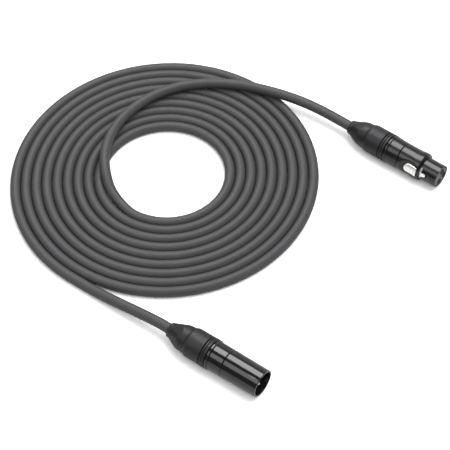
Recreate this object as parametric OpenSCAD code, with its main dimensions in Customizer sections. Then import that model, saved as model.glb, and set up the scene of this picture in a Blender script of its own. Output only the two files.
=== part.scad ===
// Balanced microphone cable, laid down as a flat coil, with a 3-pin male and a 3-hole female connector.
// Millimetres. The floor is z = 0. The origin is the middle of the footprint.
// Each connector is drawn along +Z from its cable end, its key or latch towards +X, and is then laid down.

/* [Cable] */
// Diameter of the cable's jacket
cable_d = 7; // [6.4:0.1:7.2]
// Number of turns in the flat coil
coil_turns = 9; // [4:1:10]
// Radius of the outermost turn, to the middle of the cable
coil_r = 104.2; // [95:0.1:120]
// Distance from one turn to the next
coil_pitch = 7.1; // [7:0.05:8]
// Straight run from the coil to the male connector
male_run = 80.5; // [70:0.5:110]

/* [Boots and gland nuts] */
// Length of the soft boot
boot_len = 15.5; // [14:0.5:24]
// Diameter of the boot where the cable enters
boot_tip_d = 10.4; // [10:0.1:12]
// Diameter of the boot at its shoulder
boot_shoulder_d = 17; // [16.6:0.1:17.6]
// Diameter of the boot at the nut
boot_d = 18.8; // [18:0.1:19.2]
// Length of the boot's steep taper, up to the shoulder
boot_taper = 9.2; // [8:0.1:12]
// Number of finger flats round the boot
boot_flats = 6; // [4:1:8]
// Visible length of the gland nut
nut_len = 13; // [10:0.5:16]
// Diameter of the gland nut
nut_d = 20; // [19.6:0.1:20.6]
// Outer diameter of the sleeve that screws into the shell
sleeve_d = 15; // [14.6:0.1:15.2]
// Length of that sleeve in front of the nut
sleeve_len = 12.5; // [11:0.5:14]
// Width of the coding ring
ring_len = 4; // [3:0.5:6]
// Thickness of the coding ring
ring_wall = 2.6; // [2.2:0.1:2.8]
// Diameter of the collar at the rear of a shell
collar_d = 20.2; // [19.8:0.1:20.8]

/* [Male connector] */
// Outer diameter of the male shell in front of its collar
male_d = 19.2; // [18.8:0.1:19.8]
// Outer diameter of the male shell at its mouth
mouth_d = 18.4; // [18.2:0.1:19]
// Length of the male shell
male_shell_len = 37.5; // [37:0.5:44]
// Diameter of the cavity round the pins
cavity_d = 16.2; // [16.1:0.05:16.4]
// Depth of that cavity
cavity_depth = 15.5; // [14.5:0.5:17]
// Diameter of a contact pin
pin_d = 2.4; // [2.3:0.02:2.44]
// Length of a pin inside the cavity
pin_reach = 12.7; // [11:0.1:13.5]
// Direction of the keyway, counted from +Y towards +Z
male_key_angle = 100; // [60:1:120]

/* [Female connector] */
// Outer diameter of the female body at the crest near its front
female_d = 19.9; // [19.6:0.1:20.8]
// Outer diameter of the female body's waist
waist_d = 19; // [18.6:0.1:19.6]
// Length of the female body
female_body_len = 28.7; // [28.5:0.1:34]
// Diameter of the nose
nose_d = 15.8; // [15.4:0.1:16]
// Length of the nose
nose_len = 12.7; // [11.5:0.1:14]
// Bore of a socket contact
socket_bore_d = 2.5; // [2.4:0.02:2.6]
// Direction of the latch, counted from +Y towards +Z
female_latch_angle = 160; // [150:1:200]
// Width of the latch's push tab
tab_w = 8; // [7.2:0.1:8.4]
// Length of the latch's push tab
tab_len = 9.4; // [8.6:0.1:9.6]
// Angle through which the latch is pressed
latch_travel = 3.5; // [2:0.1:4]

/* [Contacts] */
// Radius of the circle on which the three contacts stand
contact_r = 3.81; // [3.7:0.01:3.9]
// Diameter of an insulated core
core_d = 1.3; // [1:0.05:1.4]

/* [Hidden] */
$fn = 96;
eps = 0.01;

// Colours
jacket_grey = [0.27, 0.27, 0.28];
boot_black = [0.16, 0.16, 0.17];
shell_black = [0.08, 0.08, 0.09];
insert_black = [0.05, 0.05, 0.05];
contact_gold = [0.85, 0.66, 0.32];
spring_steel = [0.62, 0.62, 0.64];
latch_silver = [0.82, 0.81, 0.8];
chuck_white = [0.75, 0.75, 0.72];
core_colours = [0.7, 0.72, 0.76];

// Clearances
slip = 0.1;             // between fixed pieces that slide into each other
run_gap = 0.05;         // between the latch pin and the latch
side_gap = 0.3;         // beside the latch in its slots
edge = 0.3;             // chamfer on a visible edge
joint_edge = 0.55;      // chamfer where the nut, the ring and the shell meet
rim = [0.35, 0.55];     // bevel across and along a connector's mouth
boot_gap = 0.2;         // round the cable in the boot
nut_gap = 0.4;          // round the cable in the gland nut

// Cable: a turn's section is flat below and above, and lies clear of the next turn
rings_per_turn = 24;
turn_half_w = 0.46 * cable_d;
turn_flat_w = 0.25 * cable_d;
tail_sides = 10;
end_run = cable_d;      // straight run at each end of a wound tube
end_turn = 12;          // inward turn of the coil's inner end, in degrees

// The coil's middle from the middle of the footprint
coil_centre = [-25.5, 0.8, 0];
// Cable end of the female connector from the coil's middle, and its direction
female_place = [82, 102.8];
female_yaw = -3;

// Routes of the two free stretches from the coil's middle, chosen by hand. The run to the male connector
// is counted in x, in how far it lies inside the outermost turn's line, and in height. The climb out of the
// coil is counted in degrees past the inner end, in how far it lies inside that end's radius, and in height.
male_in = 0.75;
male_route = [[14, 0, 3.5], [22, 0, 3.9], [32, 0.1, 5], [42, 0.2, 6.4], [52, 0.4, 7.8], [62, 0.6, 9.1]];
female_climb = [[33.5, 0.3, 5.6], [48, -0.7, 8.8], [63, -2.6, 10.7]];
female_route = [[-44, -11.4, 10.8], [-48.6, -1.5, 10.8], [-51.7, 9.5, 10.8], [-52.8, 21.5, 10.8],
                [-51.8, 33.5, 10.8], [-48.5, 46.5, 10.8], [-42.5, 59, 10.8], [-33.8, 70.6, 10.8],
                [-22.5, 80.4, 10.8], [-10, 88.2, 10.8], [4.3, 94.4, 10.8], [19.5, 98.8, 10.8],
                [35.5, 102, 10.8], [50, 103.4, 10.6], [63, 103.65, 10.3]];

// Boot and nut
tip_bevel = 0.4;
flat_depth = 0.35;      // depth of a finger flat at the tip
flat_over = 3;          // how far the flats run out past the taper
nut_bevel = [0.55, 1.5];                // bevel across and along the nut's rear end

// Places along a connector, from its cable end
z_nut = boot_len;
z_ring = z_nut + nut_len;
z_shell = z_ring + ring_len;
z_sleeve_end = z_ring + sleeve_len;
cable_r = cable_d / 2;
thread_r = sleeve_d / 2 + 0.15;         // bore of the shell round the sleeve
spigot_r = sleeve_d / 2 - 1;            // tail of the nut that carries the boot
spigot_len = 6;
nut_bore_r = 6.2;                       // straight bore of the nut round the chuck
chuck_z = [z_nut + 3.5, z_ring + 2.5, z_sleeve_end - 2.5];
chuck_tip_r = 4.6;
chuck_r = nut_bore_r - 0.2;
chuck_slot_w = 1;
jacket_end_z = chuck_z[2] - 4;
screen_r = 2.6;
screen_len = 2;
core_start_z = jacket_end_z + screen_len;
core_start = [1.6, 1.9, 1.45];          // where the wires of each contact leave the screen, from the axis
core_side = 0.72;                       // half the distance between the two cores of a contact
drain_d = 0.9;

// Inserts and contacts, with the contacts across, below and across from the key
contact_angles = [270, 90, 180];
insert_depth = 12.5;                    // from the rear of a shell to the rear of its insert
z_insert = z_shell + insert_depth;
cup_len = 2.4;                          // solder cup behind the insert
cup_r = 1.5;
cup_bore_r = 1.1;
cup_bore_len = 3.4;
core_end_z = z_insert - cup_len - 0.2;
insert_r = thread_r - slip;
wall_t = 0.8;                           // separator walls between the cups
wall_z = z_insert - 4;
wall_from = 2.2;
wall_to = nut_bore_r - 0.25;
strip_t = 0.35;
strip_disc_r = 2.15;
strip_w = 2.4;

// Collar at the rear of both shells: a short round part and a bevel down to the body
collar_r = collar_d / 2;
collar_len = 1;
collar_bevel = 1.3;
z_body = z_shell + collar_len + collar_bevel;

// Male shell
male_r = male_d / 2;
mouth_r = mouth_d / 2;
male_len = z_shell + male_shell_len;
cavity_r = cavity_d / 2;
z_floor = male_len - cavity_depth;
lip_t = 1.2;                            // lip that stops the insert
lip_r = insert_r - 0.8;
male_groove_z = z_shell + 11.8;
groove_half = 0.4;
groove_depth = 0.45;
keyway_w = 5;
keyway_r = (cavity_r + mouth_r) / 2 + 0.1;
keyway_stop = 1.5;                      // wall left between the keyway and the cavity's floor
catch_extra = 0.25;
catch_gap = 0.4;
pin_r = pin_d / 2;
pin_root_r = pin_r + 0.3;               // root of a pin, inside the insert
pin_tip_len = 1.2;
strip_lip_gap = 3.3;                    // from the front end of the strip's leg to the shell's lip
male_strip_leg = z_floor - lip_t - strip_lip_gap - z_insert;

// Female shell
female_r = female_d / 2;
waist_r = waist_d / 2;
nose_r = nose_d / 2;
nose_wall = 1;
nose_bore_r = nose_r - nose_wall;
z_step = z_shell + female_body_len;
female_len = z_step + nose_len;
seat_depth = 2.5;
z_seat = z_insert + seat_depth;         // shoulder that stops the female insert
shoulder = [0.9, 2.6];                  // rounding across and along the front of the body
flare_len = 6;                          // from the waist to the crest
waist_rise = 0.35;                      // how much wider the body is behind the waist
female_groove_z = z_shell + 11;
female_insert_r = nose_bore_r - slip;
socket_r = socket_bore_d / 2 + 0.5;
socket_hole_r = socket_r + slip;
entry_r = socket_bore_d / 2 + 0.2;
socket_depth = 12;
socket_front_z = female_len - 1.7;
slit_w = 0.3;
slit_len = 7;
female_strip_leg = seat_depth - side_gap;

// Latch: a lever on a pin, with a push tab in a window and a hook in a slot of the nose
bridge_len = 1.3;                       // bridge in front of the tab's window
tab_front_gap = 0.5;
tab_z = z_step - bridge_len - tab_front_gap - tab_len;
pivot_x = thread_r - 1.15;
pivot_z = tab_z - 2.8;
pivot_r = 0.6;
pivot_half = 5.4;
knuckle_r = 1.25;
knuckle_half = 3;
knuckle_in = 1.5;
knuckle_end = tab_z + 1.5;               // front end of the arms between the knuckles and the tab
arm_half = 2;
arm_x = [5.9, 7];
hook_h = 0.9;                           // how far the hook stands out of the nose
hook_half = 1.75;
hook_z = [z_step + 0.4, z_step + 4.8];
bar_half = 3.5;                         // cross bar behind the hook, flush with the nose
bar_len = 1.5;
tab_x = female_r - 0.1;
tab_ridge = 1.6;                        // ridge left at the front of the tab by its finger dish
dish_depth = 0.5;
dish_r = 9;
arm_slot_half = arm_half + side_gap;
channel_x = 4.3;                        // floor of the channel in the insert
channel_half = tab_w / 2 + 2.5 * side_gap;
channel_z = pivot_z - 3.2;              // rear end of that channel
scoop_r = 14;
scoop_floor = nose_r - 0.1;
scoop_z = tab_z + 2.9;
spring_wire = 0.3;
spring_r = 0.95;
spring_turns = 3;
spring_half = 0.8;

// ---------------------------------------------------------------- routes and tubes

function unit(v) = v / norm(v);
// A point on the middle of the coiled cable, counted in turns from the outer end
function coil_point(t) = let (r = coil_r - coil_pitch * t, a = -90 - 360 * t)
    [r * cos(a), r * sin(a), cable_r];
coil_steps = coil_turns * rings_per_turn;
coil_in_end = coil_point(coil_turns);
inner_way = [-cos(end_turn), sin(end_turn), 0];
coil_path = concat([coil_point(0) + [end_run, 0, 0]],
                   [for (i = [0:coil_steps]) coil_point(i / rings_per_turn)],
                   [coil_in_end + end_run * inner_way]);

// Both connectors lie on their widest ring
axis_z = max(nut_d / 2, sleeve_d / 2 + ring_wall, collar_r, female_r);
male_axis = [male_run, male_in - coil_r, axis_z];
female_axis = [female_place[0], female_place[1], axis_z];
female_way = [cos(female_yaw), sin(female_yaw), 0];
male_path = concat([coil_path[0]],
                   [for (p = male_route) [p[0], p[1] - coil_r, p[2]]],
                   [male_axis - [end_run, 0, 0], male_axis]);
function climb_point(p) = let (r = norm([coil_in_end[0], coil_in_end[1]]) - p[1],
                               a = atan2(coil_in_end[1], coil_in_end[0]) - p[0])
    [r * cos(a), r * sin(a), p[2]];
female_path = concat([coil_path[len(coil_path) - 1], coil_path[len(coil_path) - 1] + end_run * inner_way],
                     [for (p = female_climb) climb_point(p)],
                     female_route,
                     [female_axis - end_run * female_way, female_axis]);

// Section of a turn: six points across and up
turn_section = [[turn_half_w, 0], [turn_flat_w, cable_r], [-turn_flat_w, cable_r],
                [-turn_half_w, 0], [-turn_flat_w, -cable_r], [turn_flat_w, -cable_r]];
function round_section(r, sides) = [for (i = [0:sides - 1]) r * [cos(360 * (i + 0.5) / sides),
                                                                 sin(360 * (i + 0.5) / sides)]];
function way_at(path, i) = let (n = len(path) - 1)
    i == 0 ? unit(path[1] - path[0]) :
    i == n ? unit(path[n] - path[n - 1]) :
    unit(unit(path[i + 1] - path[i]) + unit(path[i] - path[i - 1]));

// A solid swept along the path's points; up is the side of the section that faces that way
module tube(path, section, up = [0, 0, 1]) {
    n = len(path);
    m = len(section);
    points = [for (i = [0:n - 1])
        let (way = way_at(path, i), across = unit(cross(way, up)), high = cross(across, way))
        for (s = section) path[i] + s[0] * across + s[1] * high];
    sides = [for (i = [0:n - 2], j = [0:m - 1])
        let (a = i * m + j, b = i * m + (j + 1) % m)
        each [[a, b, b + m], [a, b + m, a + m]]];
    first_cap = [for (j = [1:m - 2]) [0, j + 1, j]];
    last_cap = [for (j = [1:m - 2]) [0, j, j + 1] + (n - 1) * m * [1, 1, 1]];
    polyhedron(points, concat(sides, first_cap, last_cap));
}

// Least gap between neighbouring turns, on the points of the coil and of its straight ends
function turn_gap(i, k) = norm(coil_path[i] - coil_path[k]) - 2 * turn_half_w;
near_turns = [for (i = [0:len(coil_path) - 1],
                   k = [i + rings_per_turn - 3:i + rings_per_turn + 3])
              if (k < len(coil_path)) turn_gap(i, k)];
echo(least_gap_between_turns_mm = min(near_turns));
function path_length(p) = [for (i = [1:len(p) - 1]) norm(p[i] - p[i - 1])] * [for (i = [1:len(p) - 1]) 1];
echo(cable_between_the_boots_mm = path_length(coil_path) + path_length(male_path) + path_length(female_path));

module cable_coil() {
    color(jacket_grey) tube(coil_path, turn_section);
}

module male_tail() {
    color(jacket_grey) tube(male_path, round_section(cable_r, tail_sides));
}

module female_tail() {
    color(jacket_grey) tube(female_path, round_section(cable_r, tail_sides));
}

// ---------------------------------------------------------------- laying a connector down

// Turns a connector from +Z to its way over the floor, with its key towards the given angle
module lay(axis, yaw, key_angle) {
    translate(axis) rotate([0, 0, yaw]) rotate([0, 90, 0]) rotate([0, 0, key_angle + 90]) children();
}

module male_laid() {
    lay(male_axis, 0, male_key_angle) children();
}

module female_laid() {
    lay(female_axis, female_yaw, female_latch_angle) children();
}

// Places the child at one of the three contacts
module at_contact(i) {
    rotate([0, 0, contact_angles[i]]) translate([contact_r, 0, 0]) children();
}

// ---------------------------------------------------------------- pieces that both connectors have

// Soft boot: a steep taper, a shoulder and a slight taper up to the nut, with finger flats across the
// shoulder, and a socket for the nut's spigot
module boot() {
    tip_r = boot_tip_d / 2;
    shoulder_r = boot_shoulder_d / 2;
    body_r = boot_d / 2;
    flat_rise = atan((body_r - tip_r + flat_depth) / (boot_taper + flat_over));
    color(boot_black) difference() {
        rotate_extrude() polygon([
            [cable_r + boot_gap, 0], [tip_r - tip_bevel, 0], [tip_r, tip_bevel],
            [shoulder_r, boot_taper], [body_r, boot_len - edge], [body_r - edge, boot_len],
            [spigot_r + slip, boot_len], [spigot_r + slip, boot_len - spigot_len - slip],
            [cable_r + boot_gap, boot_len - spigot_len - slip]]);
        for (i = [0:boot_flats - 1])
            rotate([0, 0, 360 * i / boot_flats])
                translate([tip_r - flat_depth, -body_r, 0]) rotate([0, flat_rise, 0])
                    translate([0, 0, -boot_len]) cube([body_r, 2 * body_r, 3 * boot_len]);
    }
}

// Gland nut: a spigot for the boot, a grip, a cone that closes the chuck and a sleeve for the shell's thread
module gland_nut() {
    nut_r = nut_d / 2;
    sleeve_r = sleeve_d / 2;
    color(boot_black) rotate_extrude() polygon([
        [cable_r + nut_gap, z_nut - spigot_len], [spigot_r, z_nut - spigot_len], [spigot_r, z_nut],
        [nut_r - nut_bevel[0], z_nut], [nut_r, z_nut + nut_bevel[1]],
        [nut_r, z_ring - joint_edge], [nut_r - joint_edge, z_ring],
        [sleeve_r, z_ring], [sleeve_r, z_sleeve_end - edge], [sleeve_r - edge, z_sleeve_end],
        [nut_bore_r, z_sleeve_end], [nut_bore_r, chuck_z[1]], [chuck_tip_r + 0.2, chuck_z[0]],
        [cable_r + nut_gap, chuck_z[0] - 1]]);
}

module coding_ring() {
    ring_r = sleeve_d / 2 + ring_wall;
    color(boot_black) rotate_extrude() polygon([
        [sleeve_d / 2 + slip, z_ring], [ring_r - joint_edge, z_ring], [ring_r, z_ring + joint_edge],
        [ring_r, z_shell - joint_edge], [ring_r - joint_edge, z_shell], [sleeve_d / 2 + slip, z_shell]]);
}

// Chuck: four jaws on a ring, closed on the cable by the nut's cone
module chuck() {
    color(chuck_white) difference() {
        rotate_extrude() polygon([
            [cable_r + run_gap, chuck_z[0]], [chuck_tip_r, chuck_z[0]],
            [chuck_r, chuck_z[1]], [chuck_r, chuck_z[2]], [cable_r + run_gap, chuck_z[2]]]);
        for (a = [45, 135])
            rotate([0, 0, a])
                translate([-chuck_r - 1, -chuck_slot_w / 2, chuck_z[0] - 1])
                    cube([2 * chuck_r + 2, chuck_slot_w, chuck_z[1] - chuck_z[0] + 5]);
    }
}

// End of the cable inside a connector: the jacket, and the screen that is folded back at its end
module cable_end() {
    color(jacket_grey) {
        cylinder(r = cable_r, h = jacket_end_z);
        translate([0, 0, jacket_end_z - eps]) cylinder(r = screen_r, h = screen_len + eps);
    }
}

// A wire that leaves the screen straight, spreads, and enters its cup straight
module wire(from, to, d) {
    straight = [0, 0, 0.6];
    tube([from, from + straight, to - straight, to], round_section(d / 2, 8), up = [0, 1, 0]);
}

// Four cores, two to contact 2 and two to contact 3, and the bare drain wire to contact 1
module core_wires() {
    foot = [0, 0, core_start_z];
    tip = [0, 0, core_end_z];
    color(core_colours) for (i = [1, 2], side = [-1, 1])
        rotate([0, 0, contact_angles[i]])
            wire(foot + [core_start[i], side * core_side, 0], tip + [contact_r, side * core_side, 0], core_d);
    color(contact_gold) rotate([0, 0, contact_angles[0]])
        wire(foot + [core_start[0], 0, 0], tip + [contact_r, 0, 0], drain_d);
}

// Walls that keep the three solder cups apart
module cup_walls() {
    for (a = [0, 135, 225])
        rotate([0, 0, a]) translate([wall_from, -wall_t / 2, wall_z])
            cube([wall_to - wall_from, wall_t, z_insert - wall_z + eps]);
}

// Strip that joins contact 1 to the shell: an eye round the cup, an arm and a leg along the shell's bore
module ground_strip(leg) {
    leg_out = thread_r - 0.2;
    eye_z = z_insert - strip_t - run_gap;
    color(spring_steel) rotate([0, 0, contact_angles[0]]) difference() {
        union() {
            translate([contact_r, 0, eye_z]) cylinder(r = strip_disc_r, h = strip_t);
            translate([contact_r, -strip_w / 2, eye_z]) cube([leg_out - contact_r, strip_w, strip_t]);
            translate([leg_out - strip_t, -strip_w / 2, eye_z]) cube([strip_t, strip_w, leg + strip_t]);
        }
        translate([contact_r, 0, eye_z - 1]) cylinder(r = cup_r + slip, h = 3);
    }
}

// Slot for that strip's leg in the rim of an insert
module strip_slot(leg) {
    rotate([0, 0, contact_angles[0]])
        translate([thread_r - 0.2 - strip_t - slip, -strip_w / 2 - slip, z_insert - 1])
            cube([2, strip_w + 2 * slip, leg + 1.2]);
}

// ---------------------------------------------------------------- male connector

// Outline of the collar, from the shell's bore to the body of the given radius
function collar(body_r) = [[thread_r, z_shell], [collar_r - joint_edge, z_shell], [collar_r, z_shell + joint_edge],
                           [collar_r, z_shell + collar_len], [body_r, z_body]];
// Outline of the thin groove round a body, whose radius goes from r0 before the groove to r1 after it
function groove(z, r0, r1) = [[r0, z - groove_half], [(r0 + r1) / 2 - groove_depth, z], [r1, z + groove_half]];
// Radius of the male shell, which tapers from its collar to its mouth
function male_r_at(z) = male_r + (mouth_r - male_r) * (z - z_body) / (male_len - z_body);

module male_shell() {
    color(shell_black) difference() {
        rotate_extrude() polygon(concat(collar(male_r),
            groove(male_groove_z, male_r_at(male_groove_z - groove_half), male_r_at(male_groove_z + groove_half)), [
            [mouth_r, male_len - rim[1]], [mouth_r - rim[0], male_len], [cavity_r + rim[0], male_len],
            [cavity_r, male_len - rim[1]], [cavity_r, z_floor], [lip_r, z_floor],
            [lip_r, z_floor - lip_t], [thread_r, z_floor - lip_t]]));
        // keyway, open at the mouth, and the deeper catch for the latch's hook
        translate([0, -keyway_w / 2, z_floor + keyway_stop]) cube([keyway_r, keyway_w, cavity_depth]);
        translate([0, -keyway_w / 2, z_floor + female_len - hook_z[1] - catch_gap])
            cube([keyway_r + catch_extra, keyway_w, hook_z[1] - hook_z[0] + 2 * catch_gap]);
    }
}

module male_insert() {
    color(insert_black) difference() {
        union() {
            translate([0, 0, z_insert]) cylinder(r = insert_r, h = z_floor - lip_t - z_insert);
            translate([0, 0, z_insert]) cylinder(r = lip_r - slip, h = z_floor - z_insert);
            cup_walls();
        }
        for (i = [0:2]) at_contact(i) {
            translate([0, 0, z_insert - 1]) cylinder(r = pin_root_r + run_gap, h = z_floor - z_insert + 2);
            translate([0, 0, z_insert - 1]) cylinder(r = cup_r + slip, h = 3);
        }
        strip_slot(male_strip_leg);
    }
}

// Contact pin: solder cup, collar, root held in the insert, pin and rounded tip
module male_pin(i) {
    tip_z = z_floor + pin_reach;
    color(contact_gold) at_contact(i) difference() {
        rotate_extrude() polygon([
            [0, z_insert - cup_len], [cup_r, z_insert - cup_len], [cup_r, z_insert + 1.9],
            [pin_root_r, z_insert + 1.9], [pin_root_r, z_floor], [pin_r, z_floor],
            [pin_r, tip_z - pin_tip_len], [pin_r * 0.72, tip_z - 0.35 * pin_tip_len], [pin_r * 0.35, tip_z],
            [0, tip_z]]);
        translate([0, 0, z_insert - cup_len - 1]) cylinder(r = cup_bore_r, h = cup_bore_len + 1);
    }
}

// ---------------------------------------------------------------- female connector

module female_shell() {
    color(shell_black) difference() {
        rotate_extrude() polygon(concat(collar(waist_r + waist_rise), groove(female_groove_z, waist_r, waist_r),
            [for (a = [0:30:180]) [waist_r + (female_r - waist_r) * (1 - cos(a)) / 2,
                                   z_step - shoulder[1] - flare_len * (1 - a / 180)]],
            [for (a = [15:15:90]) [female_r - shoulder[0] * (1 - cos(a)), z_step - shoulder[1] * (1 - sin(a))]],
            [[nose_r, z_step], [nose_r, female_len - rim[1]], [nose_r - rim[0], female_len],
            [nose_bore_r, female_len], [nose_bore_r, z_seat], [thread_r, z_seat]]));
        latch_cuts();
    }
}

// What is cut out of the shell for the latch
module latch_cuts() {
    // pocket round the knuckles, lower pocket over the arms that join them to the tab, and the pin's bore
    translate([0, -knuckle_half - side_gap, pivot_z - knuckle_r - side_gap])
        cube([pivot_x + knuckle_r + side_gap, 2 * (knuckle_half + side_gap), 2 * (knuckle_r + side_gap)]);
    translate([0, -knuckle_half - side_gap, pivot_z])
        cube([arm_x[1] + side_gap, 2 * (knuckle_half + side_gap), knuckle_end - pivot_z]);
    translate([pivot_x, 0, pivot_z]) rotate([90, 0, 0]) cylinder(r = pivot_r, h = 2 * pivot_half, center = true);
    // window round the push tab
    tab_plan(0, tab_w / 2 + side_gap, tab_front_gap, female_r + 1);
    // channel below the bridge, slot in the nose and its wider part round the cross bar
    translate([0, -arm_slot_half, tab_z]) cube([nose_r + eps, 2 * arm_slot_half, hook_z[1] + 1.3 - tab_z]);
    translate([0, -bar_half - side_gap, z_step])
        cube([nose_r + eps, 2 * (bar_half + side_gap), hook_z[0] + bar_len + side_gap + 0.1 - z_step]);
    // thumb scoop round the window
    translate([scoop_floor + scoop_r, 0, scoop_z]) rotate([90, 0, 0])
        cylinder(r = scoop_r, h = 2 * female_r, center = true);
}

// Plan of the push tab, with a round rear end, raised from x = from by h
module tab_plan(from, half, front_gap, h) {
    round_z = tab_z + tab_w / 2;
    translate([from, -half, round_z]) cube([h, 2 * half, tab_z + tab_len + front_gap - round_z]);
    translate([from, 0, round_z]) rotate([0, 90, 0]) cylinder(r = half, h = h);
}

module female_insert() {
    color(insert_black) difference() {
        union() {
            translate([0, 0, z_insert]) cylinder(r = insert_r, h = z_seat - z_insert);
            translate([0, 0, z_insert]) cylinder(r = female_insert_r, h = female_len - 0.2 - z_insert);
            cup_walls();
        }
        for (i = [0:2]) at_contact(i) {
            translate([0, 0, z_insert - 1]) cylinder(r = socket_hole_r, h = socket_front_z + slip - z_insert + 1);
            cylinder(r = entry_r, h = female_len + 1);
        }
        // channel in which the latch moves
        translate([channel_x, -channel_half, channel_z])
            cube([insert_r, 2 * channel_half, hook_z[1] + 1.2 - channel_z]);
        strip_slot(female_strip_leg);
    }
}

// Socket contact: solder cup, turned body and a slit bore that grips the pin
module female_socket(i) {
    color(contact_gold) at_contact(i) difference() {
        rotate_extrude() polygon([
            [0, z_insert - cup_len], [cup_r, z_insert - cup_len], [cup_r, z_insert + 1.5],
            [socket_r, z_insert + 1.5], [socket_r, socket_front_z], [0, socket_front_z]]);
        translate([0, 0, z_insert - cup_len - 1]) cylinder(r = cup_bore_r, h = cup_bore_len + 1);
        translate([0, 0, socket_front_z - socket_depth]) cylinder(d = socket_bore_d, h = socket_depth + 1);
        translate([0, -slit_w / 2, socket_front_z - slit_len]) cube([socket_r + 1, slit_w, slit_len + 1]);
    }
}

// Side view of the latch's hook, in x and z
hook_outline = [[arm_x[0], hook_z[0]], [nose_r - 0.1, hook_z[0]], [nose_r - 0.1, hook_z[0] + bar_len],
                [nose_r + hook_h, hook_z[0] + bar_len], [nose_r + hook_h, hook_z[0] + bar_len + 1.4],
                [nose_r - 0.3, hook_z[1]], [arm_x[0], hook_z[1]]];

// Latch lever: two knuckles on the pin, an arm, the push tab and the hook
module female_latch() {
    color(latch_silver) difference() {
        union() {
            // arm
            translate([arm_x[0], -arm_half, tab_z])
                cube([arm_x[1] - arm_x[0], 2 * arm_half, hook_z[1] - tab_z]);
            // push tab, rounded like the body that it stands in
            intersection() {
                tab_plan(arm_x[0], tab_w / 2, 0, tab_x);
                translate([0, 0, tab_z - 1]) cylinder(r = tab_x, h = tab_len + 2);
            }
            // hook, and the cross bar that keeps it in its slot
            translate([0, hook_half, 0]) rotate([90, 0, 0])
                linear_extrude(2 * hook_half) polygon(hook_outline);
            intersection() {
                translate([arm_x[0], -bar_half, hook_z[0]]) cube([nose_r, 2 * bar_half, bar_len]);
                translate([0, 0, hook_z[0] - 1]) cylinder(r = nose_r - 0.1, h = bar_len + 2);
            }
            // knuckles
            for (side = [-1, 1]) translate([0, side * (knuckle_in + knuckle_half) / 2, 0]) {
                translate([pivot_x, 0, pivot_z]) rotate([90, 0, 0])
                    cylinder(r = knuckle_r, h = knuckle_half - knuckle_in, center = true);
                translate([arm_x[0], -(knuckle_half - knuckle_in) / 2, pivot_z])
                    cube([arm_x[1] - arm_x[0], knuckle_half - knuckle_in, knuckle_end - pivot_z]);
            }
        }
        // bore for the latch pin
        translate([pivot_x, 0, pivot_z]) rotate([90, 0, 0])
            cylinder(r = pivot_r + run_gap, h = 4 * knuckle_half, center = true);
        // finger dish
        translate([tab_x + dish_r - dish_depth, 0, tab_z + (tab_len - tab_ridge) / 2]) rotate([90, 0, 0])
            cylinder(r = dish_r, h = 2 * tab_w, center = true);
    }
}

module female_latch_pin() {
    color(spring_steel) translate([pivot_x, 0, pivot_z]) rotate([90, 0, 0])
        cylinder(r = pivot_r - 0.01, h = 2 * pivot_half - 0.2, center = true);
}

// Torsion spring round the latch pin: one leg below the arm, the other on the insert
spring_path = concat(
    [for (z = [tab_z + 1.2, tab_z - 1]) [arm_x[0] - spring_wire / 2 - side_gap, -spring_half, z]],
    [for (i = [0:spring_turns * 12])
        let (a = 180 + 30 * i)
        [pivot_x + spring_r * cos(a), -spring_half + 2 * spring_half * i / (spring_turns * 12),
         pivot_z + spring_r * sin(a)]],
    [[channel_x + spring_wire / 2 + slip, spring_half, pivot_z - 1.2]]);

module female_latch_spring() {
    color(spring_steel) tube(spring_path, round_section(spring_wire / 2, 6), up = [0, 1, 0]);
}

// ---------------------------------------------------------------- the whole part

translate(coil_centre) cable_coil();
translate(coil_centre) male_tail();
translate(coil_centre) female_tail();
translate(coil_centre) male_laid() male_shell();
translate(coil_centre) male_laid() male_insert();
translate(coil_centre) male_laid() male_pin(0);  // male_pin_1
translate(coil_centre) male_laid() male_pin(1);  // male_pin_2
translate(coil_centre) male_laid() male_pin(2);  // male_pin_3
translate(coil_centre) male_laid() ground_strip(male_strip_leg);  // male_ground_strip
translate(coil_centre) male_laid() core_wires();  // male_core_wires
translate(coil_centre) male_laid() cable_end();  // male_cable_end
translate(coil_centre) male_laid() chuck();  // male_chuck
translate(coil_centre) male_laid() gland_nut();  // male_gland_nut
translate(coil_centre) male_laid() boot();  // male_boot
translate(coil_centre) male_laid() coding_ring();  // male_coding_ring
translate(coil_centre) female_laid() female_shell();
translate(coil_centre) female_laid() female_insert();
translate(coil_centre) female_laid() female_socket(0);  // female_socket_1
translate(coil_centre) female_laid() female_socket(1);  // female_socket_2
translate(coil_centre) female_laid() female_socket(2);  // female_socket_3
translate(coil_centre) female_laid() ground_strip(female_strip_leg);  // female_ground_strip
translate(coil_centre) female_laid() female_latch();
translate(coil_centre) female_laid() female_latch_pin();
translate(coil_centre) female_laid() female_latch_spring();
translate(coil_centre) female_laid() core_wires();  // female_core_wires
translate(coil_centre) female_laid() cable_end();  // female_cable_end
translate(coil_centre) female_laid() chuck();  // female_chuck
translate(coil_centre) female_laid() gland_nut();  // female_gland_nut
translate(coil_centre) female_laid() boot();  // female_boot
translate(coil_centre) female_laid() coding_ring();  // female_coding_ring
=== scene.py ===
"""A microphone cable with its two connectors, laid down as a flat coil on a white table."""
import bpy
import numpy as np
from mathutils import Matrix, Vector


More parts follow.
